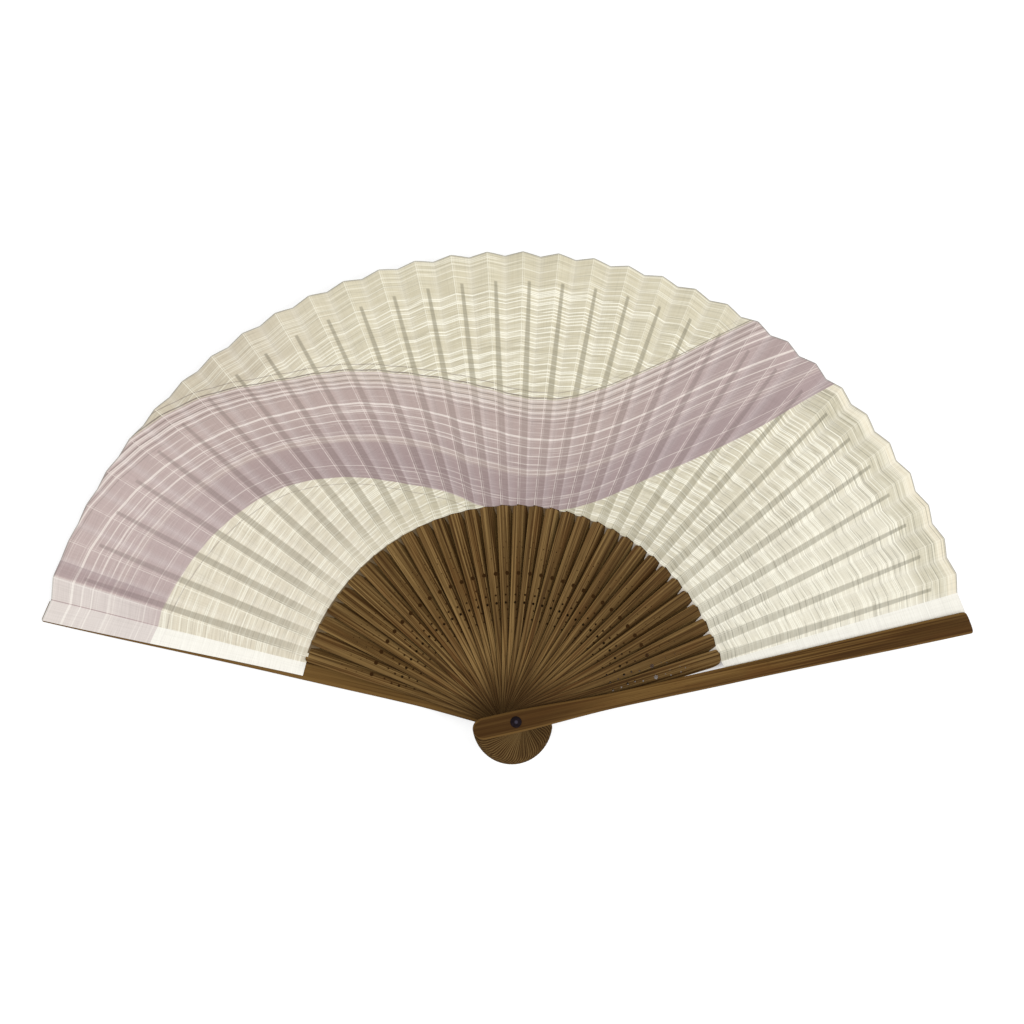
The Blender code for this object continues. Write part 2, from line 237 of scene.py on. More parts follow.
# How far the band's lines lie towards its lower edge, as a share of its width, by falling angle
BAND_SHIFT_SHARES = (
    (167, 0.02), (150, 0.03), (135, 0.045), (125, 0.0), (115, -0.023), (105, 0.0), (98, 0.023),
    (85, 0.045), (70, 0.08), (60, 0.08), (10, 0.08),
)
CALM_EDGE_SHARE = 0.15
CALM_WIDTH_SHARE = 0.35

TILT = tan(radians(RIB_TWIST))
LEAN = cos(radians(RIB_TWIST))
TIP_SLOPE = tan(radians(GUARD_TIP_SLANT))
GUARD_SET_OUT = RIB_SHOULDER_WIDTH / 2 * TILT + FOLDED_LEAF_ROOM
CLOTH_LIFT = (TONGUE_THICKNESS + CLOTH_THICKNESS) / 2 / LEAN + CLOTH_GAP

# Camera, its turn in degrees, from the folds and guard tips in the photograph
CAMERA_PLACE = Vector((-80.62, 29.82, 720.04)) * MM
CAMERA_TURN = (4.397, -6.447, 0.114)
CAMERA_LENS = 61.58
CAMERA_SENSOR = 36.0
CAMERA_NEAR_LIMIT = 10 * MM

# Table and light
FLOOR_HALF_SIZE = 3.0
FLOOR_CLEARANCE = 0.05 * MM
FLOOR_SHADE = 0.42
FLOOR_GLOW = 0.72
COVER_DISTANCE = 90 * MM
COVER_SAMPLES = 16
COVER_MARGIN = 8 * MM
COVER_MARGIN_RIGHT = radians(4.0)
COVER_MARGIN_LEFT = radians(1.0)
COVER_FADE = (0.68, 0.34)
ROOM_LIGHT = 0.89
KEY_LIGHT = 0.65
KEY_SOFTNESS = 22.0
KEY_DIRECTION = Vector((0.75, -0.25, 1.0))


def ease(share):
    """A smooth step from 0 to 1."""
    share = min(max(share, 0.0), 1.0)
    return share * share * (3.0 - 2.0 * share)


def between(low, high, share):
    """The value a share of the way from low to high."""
    return low + (high - low) * share


def turned_share(reach):
    """How much of its twist a rib has at this reach, and a guard of its set-out."""
    return ease((reach - TWIST_START) / (TWIST_END - TWIST_START))


def width_at(reach, table):
    """A width read from a table of (reach, width), eased between its rows."""
    reach = max(reach, 0.0)
    for (near, low), (far, high) in zip(table, table[1:]):
        if reach <= far:
            return between(low, high, ease((reach - near) / (far - near)))
    return table[-1][1]


# Places read from the frame
STRAIGHT_REACH = 65.0 * MM
FLAT_HEAD_REACH = 11.0 * MM


def node_points(node):
    """The places of a CAD node's vertices, each once."""
    return {tuple(round(c, 7) for c in vert.co) for vert in frame["nodes"][node].data.vertices}


def stick_angle(node):
    """The angle of a stick's centre line."""
    far = [point for point in node_points(node) if hypot(point[0], point[1]) > STRAIGHT_REACH]
    return degrees(atan2(sum(p[1] for p in far), sum(p[0] for p in far)))


def head_heights(node):
    """The lowest and highest place of a stick's flat head."""
    near = [point[2] for point in node_points(node) if hypot(point[0], point[1]) < FLAT_HEAD_REACH]
    return min(near), max(near)


STICKS = ["back_guard", *(f"rib_{number:02d}" for number in range(1, RIB_COUNT + 1)), "front_guard"]
ANGLES = [stick_angle(name) for name in STICKS]
HEIGHTS = [sum(head_heights(name)) / 2 for name in STICKS]
BACK_FACE = head_heights("back_guard")[1]
FRONT_FACE = head_heights("front_guard")[0]


# Meshes

def new_object(name, data, material=None):
    """An object that shows a mesh, a lamp or a camera."""
    thing = bpy.data.objects.new(name, data)
    bpy.context.scene.collection.objects.link(thing)
    if material:
        data.materials.append(material)
    return thing


def finished_mesh(build, name):
    """A mesh from the one that was being built."""
    mesh = bpy.data.meshes.new(name)
    build.to_mesh(mesh)
    build.free()
    return mesh


def evaluated_mesh(thing, name):
    """A plain mesh of an object with its modifiers applied. The object is removed."""
    bpy.context.view_layer.update()
    seen = thing.evaluated_get(bpy.context.evaluated_depsgraph_get())
    mesh = bpy.data.meshes.new_from_object(seen)
    mesh.name = name
    bpy.data.objects.remove(thing, do_unlink=True)
    return mesh


def smooth(mesh, sharp):
    """Shades a mesh smooth, but for edges sharper than this angle."""
    mesh.shade_smooth()
    mesh.set_sharp_from_angle(angle=radians(sharp))


def loft(rings, name):
    """A closed mesh through rings of (point, edge share), with its ends filled."""
    mesh = bmesh.new()
    edge = mesh.verts.layers.float.new("edge")
    rows = []
    for ring in rings:
        row = []
        for point, pale_edge in ring:
            vert = mesh.verts.new(point)
            vert[edge] = pale_edge
            row.append(vert)
        rows.append(row)
    count = len(rows[0])
    for row, following in zip(rows, rows[1:]):
        for i in range(count):
            j = (i + 1) % count
            mesh.faces.new((row[i], following[i], following[j], row[j]))
    mesh.faces.new(rows[0])
    mesh.faces.new(list(reversed(rows[-1])))
    bmesh.ops.recalc_face_normals(mesh, faces=mesh.faces)
    return finished_mesh(mesh, name)


def drilled(mesh, drills, name):
    """A mesh cut by upright drills, given as (reach, side, diameter, sides)."""
    build = bmesh.new()
    for reach, side, size, sides in drills:
        made = bmesh.ops.create_cone(
            build, cap_ends=True, segments=sides, radius1=size / 2, radius2=size / 2, depth=DRILL_DEPTH
        )
        bmesh.ops.translate(build, verts=made["verts"], vec=Vector((reach, side, 0.0)))
    blank = new_object(name + "_blank", mesh)
    cutter = new_object(name + "_drills", finished_mesh(build, name + "_drills"))
    cut = blank.modifiers.new("drilled holes", "BOOLEAN")
    cut.operation = "DIFFERENCE"
    cut.object = cutter
    result = evaluated_mesh(blank, name)
    bpy.data.objects.remove(cutter, do_unlink=True)
    smooth(result, STICK_SHARP_ANGLE)
    return result


def head_stations(width):
    """Half-widths round the head's end, as (reach, half width)."""
    radius = width / 2
    centre = radius - HEAD_REACH
    return [
        (centre - radius * cos(radians(turn)), radius * sin(radians(turn)))
        for turn in HEAD_TURNS
    ]


def corner_stations(start, half, size, turns):
    """Half-widths round a corner that starts at a reach, as (reach, half width)."""
    return [
        (start + size * sin(radians(turn)), half - size * (1 - cos(radians(turn))))
        for turn in turns
    ]


def spaced(low, high, steps):
    """Evenly spaced values after low, up to and with high."""
    return [between(low, high, (step + 1) / steps) for step in range(steps)]


def rib_stations():
    """A rib's outline, as (reach, half width, thickness) from head to tip."""
    stations = head_stations(RIB_HEAD_WIDTH)
    cut_start = SHOULDER_REACH - RIB_CORNER_CUT_LENGTH
    corner_start = SHOULDER_REACH - RIB_SHOULDER_CORNER
    reaches = spaced(-HEAD_REACH / 2, TWIST_START, HEAD_STEPS)
    reaches += spaced(TWIST_START, TWIST_END, RIB_TWIST_STEPS)
    reaches += spaced(TWIST_END, cut_start, RIB_BROAD_STEPS)
    reaches += spaced(cut_start, corner_start, RIB_CUT_STEPS)[:-1]
    stations += [(reach, width_at(reach, RIB_WIDTHS) / 2) for reach in reaches]
    shoulder_half = width_at(corner_start, RIB_WIDTHS) / 2
    stations += corner_stations(corner_start, shoulder_half, RIB_SHOULDER_CORNER, RIB_CORNER_TURNS)
    found = [(reach, half, RIB_THICKNESS) for reach, half in stations]
    for step in range(TONGUE_STEPS + 1):
        share = step / TONGUE_STEPS
        reach = between(SHOULDER_REACH, TONGUE_REACH, share)
        found.append((reach, between(TONGUE_ROOT_WIDTH, TONGUE_TIP_WIDTH, share) / 2, TONGUE_THICKNESS))
    return found


def rib_section(half, thickness):
    """A rib's cross-section as (side, height, edge share), with its edges broken."""
    chamfer = min(RIB_CHAMFER, half / 4)
    pale_edge = min(RIB_PALE_EDGE_WIDTH, half / 2)
    rise = thickness / 2
    quarter = [
        (half - pale_edge, rise, 0.0),
        (half - chamfer, rise, 1.0),
        (half, rise - chamfer, 1.0),
    ]
    right = quarter + [(side, -height, pale_edge_share) for side, height, pale_edge_share in reversed(quarter)]
    left = [(-side, height, pale_edge_share) for side, height, pale_edge_share in reversed(right)]
    return [(side, height, pale_edge_share * RIGHT_PALE_EDGE_SHARE) for side, height, pale_edge_share in right] + left


def rib_mesh():
    """The mesh that all ribs share, along +X, with its left edge raised by the twist."""
    rings = []
    for reach, half, thickness in rib_stations():
        turn = radians(RIB_TWIST * turned_share(reach))
        kept = 1.0
        if thickness == RIB_THICKNESS:
            cut = (reach - SHOULDER_REACH + RIB_CORNER_CUT_LENGTH) / RIB_CORNER_CUT_LENGTH
            kept = 1.0 - RIB_CORNER_CUT / half * max(cut, 0.0) ** 2
        ring = []
        for side, height, pale_edge in rib_section(half, thickness):
            side *= kept if side < 0 else 1.0
            across = side - height * sin(turn)
            up = side * tan(turn) + height * cos(turn)
            ring.append(((reach, across, up), pale_edge))
        rings.append(ring)
    drills = [(0.0, 0.0, 2 * (PIN_RADIUS + PIN_HOLE_CLEARANCE), PIN_HOLE_SIDES)]
    drills += RIB_HOLES
    for number in range(ROSETTE_HOLES):
        turn = radians(360 * number / ROSETTE_HOLES)
        reach = ROSETTE_REACH + ROSETTE_LENGTH * cos(turn)
        side = ROSETTE_WIDTH * sin(turn)
        drills.append((reach, side, ROSETTE_HOLE_SIZE, ROSETTE_HOLE_SIDES))
    return drilled(loft(rings, "rib_blank"), drills, "rib")


def guard_stations():
    """A guard's outline, as (reach, half width, share of the tip's slant) from head to tip."""
    stations = [(reach, half, 0.0) for reach, half in head_stations(GUARD_HEAD_WIDTH)]
    reaches = spaced(-HEAD_REACH / 2, TWIST_START, HEAD_STEPS)
    reaches += spaced(TWIST_START, TWIST_END, GUARD_TWIST_STEPS)
    stations += [(reach, width_at(reach, GUARD_WIDTHS) / 2, 0.0) for reach in reaches]
    for step in range(1, GUARD_STRAIGHT_STEPS):
        share = step / GUARD_STRAIGHT_STEPS
        reach = between(TWIST_END, GUARD_REACH, share)
        stations.append((reach, width_at(reach, GUARD_WIDTHS) / 2, share))
    corner_start = GUARD_REACH - GUARD_TIP_CORNER
    half = width_at(corner_start, GUARD_WIDTHS) / 2
    corner = corner_stations(corner_start, half, GUARD_TIP_CORNER, CORNER_TURNS)
    return stations + [(reach, side, 1.0) for reach, side in corner]


def guard_section(half, edge):
    """A guard's cross-section as (side, height, edge share): flat inside, crowned outside."""
    side = half - edge
    rise = GUARD_THICKNESS - GUARD_CROWN
    right = [(half, 0.0, 1.0)]
    for turn in GUARD_EDGE_TURNS:
        angle = radians(turn)
        right.append((side + edge * cos(angle), rise - edge * (1 - sin(angle)), 1.0))
    for share in GUARD_CROWN_SHARES:
        bend = (share - GUARD_FLAT_SHARE) / (1 - GUARD_FLAT_SHARE)
        right.append((side * share, GUARD_THICKNESS - GUARD_CROWN * bend * bend, 0.0))
    return right + [(-across, height, pale_edge) for across, height, pale_edge in reversed(right)]


def guard_mesh(name, outward, slant_side):
    """A guard along +X. outward is 1 for a crown towards +Z, and slant_side is the longer side."""
    slope = TIP_SLOPE * slant_side
    rings = []
    for reach, half, slant in guard_stations():
        set_out = GUARD_SET_OUT * turned_share(reach)
        rings.append([
            ((reach + slant * slope * side, side, outward * (set_out + height)), pale_edge)
            for side, height, pale_edge in guard_section(half, min(GUARD_EDGE_ROUND, half / 2))
        ])
    hole = (0.0, 0.0, 2 * (PIN_RADIUS + PIN_HOLE_CLEARANCE), PIN_HOLE_SIDES)
    return drilled(loft(rings, name + "_blank"), [hole], name)


def pin_mesh():
    """The pin, turned about Z, with a low dome at each end."""
    low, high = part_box("pivot_pin")
    head = [(0.0, 0.0)]
    for turn in CORNER_TURNS:
        angle = radians(turn)
        head.append((
            between(PIN_HEAD_FLAT_RADIUS, PIN_HEAD_RADIUS, sin(angle)),
            PIN_HEAD_HEIGHT * (1 - cos(angle)),
        ))
    head.append((PIN_RADIUS, PIN_HEAD_HEIGHT))
    points = [(radius, 0.0, high.z - drop) for radius, drop in head]
    points += [(radius, 0.0, low.z + drop) for radius, drop in reversed(head)]
    mesh = bpy.data.meshes.new("pin_profile")
    mesh.from_pydata(points, [(i, i + 1) for i in range(len(points) - 1)], [])
    blank = new_object("pin_profile", mesh)
    turn = blank.modifiers.new("turned", "SCREW")
    turn.steps = PIN_STEPS
    turn.render_steps = PIN_STEPS
    turn.use_merge_vertices = True
    turn.merge_threshold = PIN_MERGE_DISTANCE
    found = evaluated_mesh(blank, "pin")
    smooth(found, PIN_SHARP_ANGLE)
    return found


# Leaf

def polar(reach, angle, height):
    """A point from its reach, angle and height."""
    turn = radians(angle)
    return Vector((reach * cos(turn), reach * sin(turn), height))


def beside(reach, angle, side, height):
    """A point at this reach from the pin, side to the left of a stick at this angle."""
    return polar(reach, angle + degrees(asin(side / reach)), height)


def line_point(kind, stick, share):
    """A point of a line of the leaf at a stick, a share of the way from its inner edge."""
    outer = LEAF_OUTER_REACH
    if stick == 0:
        outward = 1 if kind == "edge" else -1
        outer = GUARD_REACH - LEAF_END_INSET + outward * TIP_SLOPE * GUARD_TIP_WIDTH / 2
    inner = LEAF_INNER_REACH + read_share(INNER_TRIM, ANGLES[stick])
    if 0 < stick <= RIB_COUNT:
        outer += read_share(OUTER_TRIM, ANGLES[stick])
    reach = between(inner, outer, share)
    guard_half = width_at(reach, GUARD_WIDTHS) / 2
    if stick == 0:
        height = BACK_FACE - GUARD_SET_OUT + CLOTH_GAP + CLOTH_THICKNESS
        side = -guard_half
        if kind == "edge":
            side = guard_half - between(LEAF_ROOT_INSET, LEAF_TIP_INSET, share)
        return beside(reach, ANGLES[stick], side, height)
    if stick == RIB_COUNT + 1:
        height = FRONT_FACE + GUARD_SET_OUT - CLOTH_GAP - CLOTH_THICKNESS
        side = guard_half + LEAF_FOLD_MARGIN
        if kind == "edge":
            side = guard_half - LEAF_TUCK
        return beside(reach, ANGLES[stick], side, height)
    turn = {"mountain": MOUNTAIN_SIDE, "seam": 0.0, "valley": -VALLEY_SIDE}[kind]
    rise = reach * sin(radians(turn)) * TILT
    across = (turn + VALLEY_SIDE) / (MOUNTAIN_SIDE + VALLEY_SIDE)
    depth = FOLD_STEP * read_share(FOLD_STEP_SHARES, ANGLES[stick])
    step = depth * between(INNER_FOLD_STEP_SHARE, 1.0, share ** 2) * between(-1.0, 1.0, across)
    return polar(reach + step, ANGLES[stick] + turn, HEIGHTS[stick] + CLOTH_LIFT + rise)


def bay_lines(bay):
    """The lines that a bay of the leaf runs through, from its left stick to its right one."""
    left = [("seam", bay), ("valley", bay)]
    if bay == 0:
        left = [("edge", bay), ("fold", bay)]
    right = [("mountain", bay + 1), ("seam", bay + 1)]
    if bay == RIB_COUNT:
        right = [("fold", bay + 1), ("edge", bay + 1)]
    return left + right


def lip_share(bay, column, share):
    """How far the cloth's inner edge reaches in between two ribs, as a share of the lip's reach."""
    step = column - FIRST_FREE_COLUMN
    if share > 0.0 or not 0 < bay < RIB_COUNT or not 0 <= step < len(FREE_STEPS):
        return 0.0
    return sin(pi * FREE_STEPS[step]) ** 2


def creased_row(corners, bay, share):
    """One row of a bay: its four corners, joined by straight glued ends and a puffed free panel."""
    start, first, second, end = corners
    free = (second - first).length
    wave = sin(share * PUFF_WAVE + bay * PUFF_BAY_TURN)
    swell = sin(pi * share * PUFF_LENGTH_SHARE + PUFF_START_TURN)
    puff = PANEL_PUFF * between(PUFF_LEAST_SHARE, 1.0, wave) * swell
    row = [start, start.lerp(first, 0.5)]
    row += rounded(start, first, second)
    for column, step in enumerate(FREE_STEPS, FIRST_FREE_COLUMN):
        point = first.lerp(second, step)
        point.z += puff * sin(pi * step) * free / (free + FOLD_ROUND)
        lip = lip_share(bay, column, share)
        point -= point.to_2d().normalized().to_3d() * LIP_REACH * lip
        point.z -= LIP_DROP * lip
        row.append(point)
    row += rounded(first, second, end)
    row += [second.lerp(end, 0.5), end]
    return row


def rounded(before, corner, after):
    """Three points that round a fold."""
    inward = corner + (before - corner).normalized() * FOLD_ROUND
    outward = corner + (after - corner).normalized() * FOLD_ROUND
    return [inward, inward * 0.25 + corner * 0.5 + outward * 0.25, outward]


def read_share(table, angle):
    """A share read from a table of (falling angle, share), smoothed between its rows."""
    rows = list(reversed(table))
    angle = min(max(angle, rows[0][0]), rows[-1][0])
    for i, ((low, start), (high, end)) in enumerate(zip(rows, rows[1:])):
        if angle <= high:
            before = rows[max(i - 1, 0)]
            after = rows[min(i + 2, len(rows) - 1)]
            width = high - low
            slope_in = (end - before[1]) / (high - before[0]) * width
            slope_out = (after[1] - start) / (after[0] - low) * width
            part = (angle - low) / width
            bend = slope_in * part * (1 - part) ** 2 - slope_out * part ** 2 * (1 - part)
            return between(start, end, ease(part)) + bend
    return rows[-1][1]


def line_side(point, angle):
    """How far a point lies to the left of the line at this angle through the pin's axis."""
    turn = radians(angle)
    return point.y * cos(turn) - point.x * sin(turn)


def leaf_facts(point, bay, share, lip, painted_light_and_shade):
    """What the cloth's material reads at a point: places along and across, and distances to folds."""
    angle = degrees(atan2(point.y, point.x))
    ribs = [stick for stick in (bay, bay + 1) if 1 <= stick <= RIB_COUNT]
    bottom = read_share(BAND_BOTTOM_SHARES, angle)
    top = read_share(BAND_TOP_SHARES, angle)
    true_reach = hypot(point.x, point.y)
    beyond = true_reach - SHOULDER_REACH
    flat_share = share
    if bay in (0, RIB_COUNT):
        beyond = SAFELY_BEYOND
    else:
        inner = LEAF_INNER_REACH + read_share(INNER_TRIM, angle)
        outer = LEAF_OUTER_REACH + read_share(OUTER_TRIM, angle)
        flat_share = (true_reach - inner) / (outer - inner)
    band = (flat_share - bottom) / (top - bottom)
    well_inside = ease((band - CALM_EDGE_SHARE) / CALM_WIDTH_SHARE) * ease((1.0 - band) / CALM_WIDTH_SHARE)
    return {
        "rib_gap": min(abs(line_side(point, ANGLES[stick])) for stick in ribs),
        "mountain_side": min((line_side(point, ANGLES[stick] + MOUNTAIN_SIDE) for stick in ribs), key=abs),
        "valley_gap": min(abs(line_side(point, ANGLES[stick] - VALLEY_SIDE)) for stick in ribs),
        "band": band + read_share(BAND_SHIFT_SHARES, angle) * well_inside,
        "turn": angle / 180,
        "reach": between(LEAF_INNER_REACH, LEAF_OUTER_REACH, share) - LIP_REACH * lip,
        "beyond": beyond,
        "painted_light_and_shade": painted_light_and_shade,
    }


FACTS = ("rib_gap", "mountain_side", "valley_gap", "band", "turn", "reach", "beyond", "painted_light_and_shade")


def end_light_and_shade(bay, column, count, share):
    """How much painted light (above 0) or painted shade (below 0) a place of the first and last bays gets, by
    its column of points.
    """
    outward = ease((share - CHANGE_START_SHARE) / CHANGE_LENGTH_SHARE)
    if bay == 0:
        if column == FOLD_COLUMN:
            return between(1.0, -1.0, outward)
        if column < FOLD_COLUMN:
            return 1.0
        if column >= count - GLUED_COLUMNS:
            return END_SHADE_SHARE * outward
        return between(*FREE_PANEL_SHARES, outward)
    if bay == 1 and column < FOLD_COLUMN:
        return END_SHADE_SHARE * outward
    if bay == RIB_COUNT and column > FOLD_COLUMN:
        return 1.0
    return 0.0


def bay_mesh(bay):
    """One bay of the leaf, as a surface with the facts that its material reads."""
    mesh = bmesh.new()
    layers = {name: mesh.verts.layers.float.new(name) for name in FACTS}
    lines = bay_lines(bay)
    rows = []
    for step in range(LEAF_ROWS + 1):
        share = step / LEAF_ROWS
        corners = [line_point(kind, stick, share) for kind, stick in lines]
        row = []
        points = creased_row(corners, bay, share)
        for column, point in enumerate(points):
            vert = mesh.verts.new(point)
            painted_light_and_shade = end_light_and_shade(bay, column, len(points), share)
            lip = lip_share(bay, column, share)
            for name, value in leaf_facts(point, bay, share, lip, painted_light_and_shade).items():
                vert[layers[name]] = value
            row.append(vert)
        rows.append(row)
    for row, following in zip(rows, rows[1:]):
        for i in range(len(row) - 1):
            mesh.faces.new((row[i], following[i], following[i + 1], row[i + 1]))
    bmesh.ops.recalc_face_normals(mesh, faces=mesh.faces)
    mesh.edges.index_update()
    border = [edge.index for edge in mesh.edges if edge.is_boundary]
    found = finished_mesh(mesh, f"leaf_bay_{bay:02d}")
    found.shade_smooth()
    for edge in border:
        found.edges[edge].use_edge_sharp = True
    return found


def flat_size(bay):
    """The width and length of a bay's cut, and its area."""
    widths = []
    for share in (0.0, 1.0):
        corners = [line_point(kind, stick, share) for kind, stick in bay_lines(bay)]
        widths.append(sum((b - a).length for a, b in zip(corners, corners[1:])))
    length = LEAF_OUTER_REACH - LEAF_INNER_REACH
    return max(widths), length, sum(widths) / 2 * length


# Materials

def linear(red, green, blue):
    """A colour in the renderer's units, from the values 0 to 255 that a screen shows."""
    found = []
    for value in (red, green, blue):
        share = value / 255
        found.append(share / 12.92 if share <= 0.04045 else ((share + 0.055) / 1.055) ** 2.4)
    return (*found, 1.0)


class Recipe:
    """A material whose nodes are added by short calls. Most calls return the socket that they make."""

    def __init__(self, name, roughness, gloss):
        self.material = bpy.data.materials.new(name)
        self.material.use_nodes = True
        self.tree = self.material.node_tree
        self.shader = self.tree.nodes["Principled BSDF"]
        self.shader.inputs["Roughness"].default_value = roughness
        self.shader.inputs["Specular IOR Level"].default_value = gloss
        self.facts = {}

    def feed(self, socket, value):
        """Links or sets a socket."""
        if isinstance(value, bpy.types.NodeSocket):
            self.tree.links.new(value, socket)
        else:
            socket.default_value = value

    def node(self, kind, values, **settings):
        """A node with its settings, its inputs given by name or number."""
        made = self.tree.nodes.new("ShaderNode" + kind)
        for name, value in settings.items():
            setattr(made, name, value)
        for key, value in values.items():
            self.feed(made.inputs[key], value)
        return made

    def fact(self, name):
        """A number that the mesh holds, by its name."""
        if name not in self.facts:
            self.facts[name] = self.node("Attribute", {}, attribute_name=name).outputs["Fac"]
        return self.facts[name]

    def place(self):
        """The place on the object."""
        return self.node("TexCoord", {}).outputs["Object"]

    def math(self, operation, a, b=0.0):
        """A sum, product or other operation on two numbers."""
        return self.node("Math", {0: a, 1: b}, operation=operation).outputs[0]

    def times(self, first, *factors):
        """The product of some numbers."""
        for factor in factors:
            first = self.math("MULTIPLY", first, factor)
        return first

    def most(self, first, *others):
        """The greatest of some numbers."""
        for other in others:
            first = self.math("MAXIMUM", first, other)
        return first

    def apart(self, a, b):
        """How far two numbers lie apart."""
        return self.math("ABSOLUTE", self.math("SUBTRACT", a, b))

    def span(self, value, low, high, to_low=0.0, to_high=1.0):
        """A smooth step from to_low to to_high as value goes from low to high."""
        values = {"Value": value, "From Min": low, "From Max": high, "To Min": to_low, "To Max": to_high}
        return self.node("MapRange", values, interpolation_type="SMOOTHSTEP").outputs[0]

    def mix(self, share, a, b, blend="MIX"):
        """Colour a with a share of colour b."""
        values = {0: share, 6: a, 7: b}
        return self.node("Mix", values, data_type="RGBA", blend_type=blend).outputs[2]

    def fades(self, fades):
        """The product of some fades, each a fact's name and the limits of its span."""
        return self.times(1.0, *(self.span(self.fact(name), *limits) for name, *limits in fades))

    def changed(self, colour, changes):
        """A colour after some changes, each another colour and the fades of its share."""
        for tint, *fades in changes:
            colour = self.mix(self.fades(fades), colour, tint)
        return colour

    def shaded(self, share, colour):
        """A colour with a share of its darker grey on it, the grey of the weave and of the tongues' painted
        shadow.
        """
        return self.mix(share, colour, self.mix(1.0, colour, SHADOW_AND_WEAVE_GREY, "MULTIPLY"))

    def joined(self, x, y, z=0.0):
        """A vector from three numbers."""
        return self.node("CombineXYZ", {0: x, 1: y, 2: z}).outputs[0]

    def vector(self, operation, a, b):
        """A sum, product or other operation on two vectors."""
        return self.node("VectorMath", {0: a, 1: b}, operation=operation).outputs[0]

    def length(self, vector):
        """The length of a vector."""
        return self.node("VectorMath", {0: vector}, operation="LENGTH").outputs["Value"]

    def noise(self, vector, scales, detail=2.0, roughness=0.5):
        """A smooth noise about 0.5, with this many marks in a unit along each axis."""
        scaled = self.vector("MULTIPLY", vector, scales)
        values = {"Vector": scaled, "Scale": 1.0, "Detail": detail, "Roughness": roughness}
        return self.node("TexNoise", values).outputs[0]

    def openness(self, distance, samples):
        """How open the space round a place is, from 0 to 1, within a distance."""
        return self.node("AmbientOcclusion", {"Distance": distance}, samples=samples).outputs["AO"]

    def bump(self, height, strength, distance):
        """Sets the shader's bump."""
        values = {"Height": height, "Strength": strength, "Distance": distance}
        self.feed(self.shader.inputs["Normal"], self.node("Bump", values).outputs[0])

    def colour(self, value):
        """Sets the shader's colour."""
        self.feed(self.shader.inputs["Base Color"], value)


# A fade is the limits of a span: where it starts, where it ends, and its amounts there if not 0 and 1. A
# bump is its strength and its height.
MATT_ROUGHNESS = 0.6
MATT_GLOSS = 0.08

# Bamboo: the marks of its grain in a metre along, across and through a stick, their detail and roughness
GRAIN = {
    "fibre": ((30.0, 3600.0, 300.0), 3.0, 0.6),
    "strand": ((16.0, 1700.0, 170.0), 2.0, 0.5),
    "streak": ((9.0, 900.0, 90.0), 2.0, 0.5),
    "cloud": ((45.0, 160.0, 10.0), 2.0, 0.5),
    "pores": ((260.0, 4200.0, 300.0), 1.0, 0.5),
}
# What the grain adds, as (mark, fade, tint)
GRAIN_TINTS = (
    ("fibre", (0.3, 0.72), "base"),
    ("strand", (0.5, 0.38, 0.0, 0.85), "dark"),
    ("strand", (0.53, 0.64, 0.0, 0.95), "light"),
    ("streak", (0.42, 0.7, 0.0, 0.6), "light"),
    ("cloud", (0.45, 0.75, 0.0, 0.35), "red"),
    ("pores", (0.66, 0.74, 0.0, 0.55), "dark"),
)
TINTS = ("base", "dark", "light", "red")
RIB_COLOURS = ((112, 84, 44), (60, 38, 11), (138, 110, 66), (106, 70, 34))
GUARD_COLOURS = ((99, 71, 31), (62, 38, 10), (116, 87, 45), (98, 58, 22))
# Where the sticks are darker, as fades by reach and by number
RIB_HEAD_FADE = (30 * MM, 8 * MM, 0.0, 0.72)
RIB_NUMBER_FADE = (17.0, 30.0, 0.0, 0.22)
GUARD_HEAD_FADE = (60 * MM, 8 * MM, 0.0, 0.72)
GUARD_TIP_FADE = (SHOULDER_REACH, GUARD_REACH, 0.0, 0.55)
PALE_EDGE_FADE = (0.3, 0.6, 0.3, 0.75)
# Painted shade in the crevices between sticks, where little of the space round a place is open
CREVICE_DEPTH = 3.0 * MM
CREVICE_SAMPLES = 4
CREVICE_SHADE_FADE = (0.7, 0.34, 0.0, 0.95)
CREVICE_SHADE_BROWN = linear(36, 22, 6)
FIBRE_ROUGHNESS_FADE = (0.3, 0.7, 0.7, 0.52)
GRAIN_BUMP = (0.4, 0.06 * MM)


def bamboo_material(name, colours, reach_fades, number_fade=None):
    """Smoked bamboo: long fibres along the stick, pale edges that are part wear and part painted highlight,
    painted shade in the crevices, and darker where the fades say.
    """
    recipe = Recipe(name, MATT_ROUGHNESS, MATT_GLOSS)
    spot = recipe.place()
    number = recipe.node("ObjectInfo", {}).outputs["Object Index"]
    own = recipe.vector("ADD", spot, recipe.joined(number, number, number))
    grain = {mark: recipe.noise(own, *settings) for mark, settings in GRAIN.items()}
    tints = {tint: linear(*colour) for tint, colour in zip(TINTS, colours)}
    colour = tints["dark"]
    for mark, fade, tint in GRAIN_TINTS:
        colour = recipe.mix(recipe.span(grain[mark], *fade), colour, tints[tint])
    along = recipe.node("SeparateXYZ", {0: spot}).outputs[0]
    for fade in reach_fades:
        colour = recipe.mix(recipe.span(along, *fade), colour, tints["dark"])
    if number_fade:
        colour = recipe.mix(recipe.span(number, *number_fade), colour, tints["dark"])
    # Pale edges: part wear, part painted highlight, stronger on a rib's raised left edge than on its right
    pale_edge = recipe.times(recipe.fact("edge"), recipe.span(grain["streak"], *PALE_EDGE_FADE))
    colour = recipe.mix(pale_edge, colour, tints["light"])
    # Painted shade in the crevices between sticks
    crevice_shade = recipe.span(recipe.openness(CREVICE_DEPTH, CREVICE_SAMPLES), *CREVICE_SHADE_FADE)
    recipe.colour(recipe.mix(crevice_shade, colour, CREVICE_SHADE_BROWN))
    recipe.feed(recipe.shader.inputs["Roughness"], recipe.span(grain["fibre"], *FIBRE_ROUGHNESS_FADE))
    coarse = recipe.math("ADD", grain["strand"], grain["streak"])
    recipe.bump(recipe.math("ADD", grain["fibre"], coarse), *GRAIN_BUMP)
    return recipe.material


